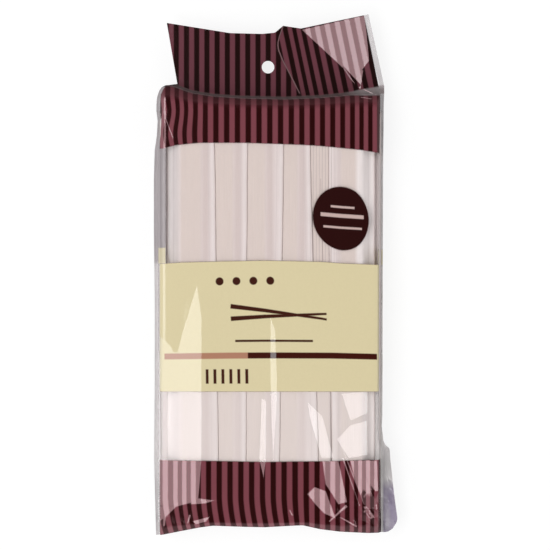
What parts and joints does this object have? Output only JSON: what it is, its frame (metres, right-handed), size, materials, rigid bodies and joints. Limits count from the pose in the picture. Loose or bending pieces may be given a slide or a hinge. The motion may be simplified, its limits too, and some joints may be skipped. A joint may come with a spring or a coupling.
{
  "type": "header bag of paper-wrapped wooden chopsticks",
  "caption": "Sealed clear film header bag with a hang hole, striped ends and a plain band, holding a flat bundle of paper-sleeved split wooden chopstick pairs.",
  "frame": {"origin": "on the flat back of the bag, under the middle of the bundle of sleeves", "axes": "+X across the pack to the right of its printed front, +Y along it towards the header with the hang hole, +Z out of the front"},
  "size_m": [0.1228, 0.2613, 0.029],
  "materials": {
    "film": "clear glossy film, printed with dark and rose stripes at both ends, a cream band and a dark round spot",
    "paper": "thin matte white paper, slightly see-through",
    "wood": "bare pale split wood, fine straight grain"
  },
  "bodies": {
    "root": {"film_bag": "film", "paper_sleeve_1_1": "paper", "paper_sleeve_1_2": "paper", "paper_sleeve_1_3": "paper", "paper_sleeve_1_4": "paper", "paper_sleeve_1_5": "paper", "paper_sleeve_1_6": "paper", "paper_sleeve_2_1": "paper", "paper_sleeve_2_2": "paper", "paper_sleeve_2_3": "paper", "paper_sleeve_2_4": "paper", "paper_sleeve_2_5": "paper", "paper_sleeve_2_6": "paper", "paper_sleeve_3_1": "paper", "paper_sleeve_3_2": "paper", "paper_sleeve_3_3": "paper", "paper_sleeve_3_4": "paper", "paper_sleeve_3_5": "paper", "paper_sleeve_3_6": "paper", "paper_sleeve_4_1": "paper", "paper_sleeve_4_2": "paper", "paper_sleeve_4_3": "paper", "paper_sleeve_4_4": "paper", "paper_sleeve_4_5": "paper", "paper_sleeve_4_6": "paper", "paper_sleeve_5_1": "paper", "paper_sleeve_5_2": "paper", "paper_sleeve_5_3": "paper", "paper_sleeve_5_4": "paper", "paper_sleeve_5_5": "paper", "paper_sleeve_5_6": "paper", "chopstick_pairs_layer_1": "wood", "chopstick_pairs_layer_2": "wood", "chopstick_pairs_layer_3": "wood", "chopstick_pairs_layer_4": "wood", "chopstick_pairs_layer_5": "wood"}
  },
  "joints": []
}
